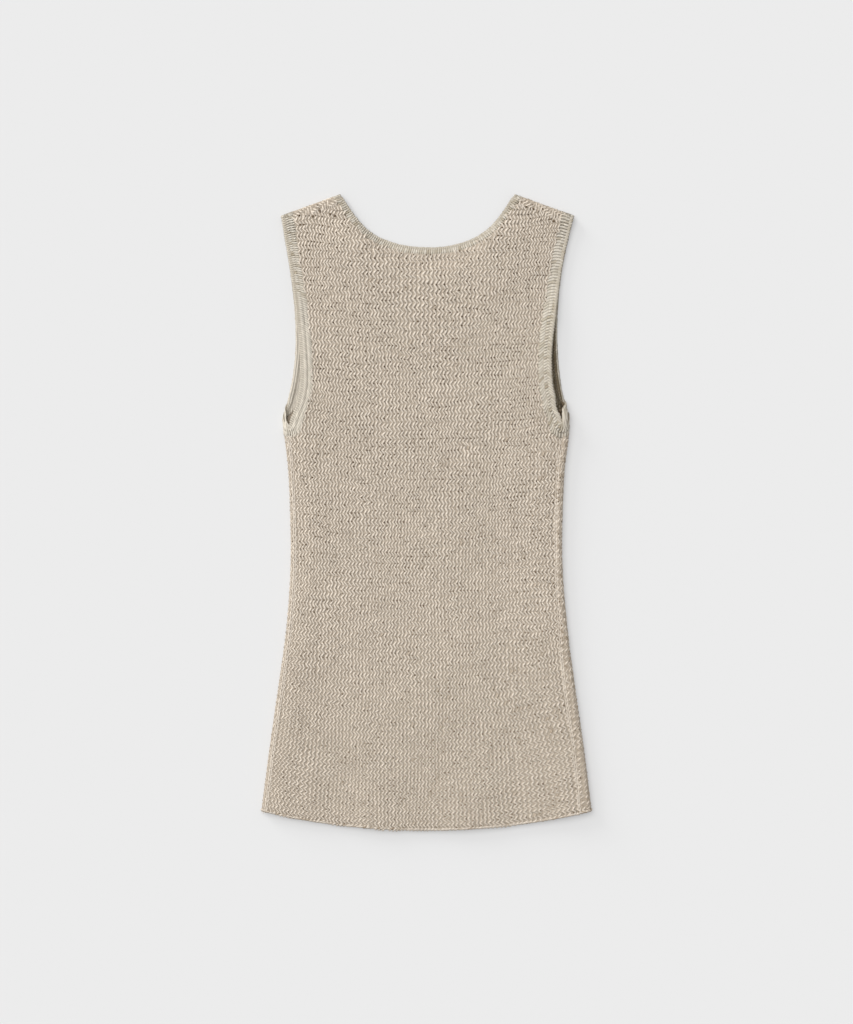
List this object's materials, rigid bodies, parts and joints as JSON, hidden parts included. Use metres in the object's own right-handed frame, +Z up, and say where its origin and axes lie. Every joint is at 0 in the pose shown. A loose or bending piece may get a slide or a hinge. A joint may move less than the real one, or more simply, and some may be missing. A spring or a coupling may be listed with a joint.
{
  "type": "sleeveless knit top laid flat",
  "caption": "Sleeveless knitted top laid flat on its front: wide scoop neck, straps, ribbed bands round neck and armholes, and a flared, curved hem.",
  "frame": {"origin": "centre of the garment's outline, on the surface that it lies on", "axes": "+X towards the wearer's right side, +Y from the hem to the neck, +Z up, out of the back that shows"},
  "size_m": [0.3228, 0.62, 0.0084],
  "materials": {
    "body_knit": "matt beige slub yarn, knitted in slanting stitches that change direction every row",
    "band_knit": "the same yarn in a fine rib across the band, a little lighter, with a rolled outer edge"
  },
  "bodies": {
    "root": {"back_panel": "body_knit", "front_panel": "body_knit", "neckband": "band_knit", "armband_left": "band_knit", "armband_right": "band_knit"}
  },
  "joints": []
}
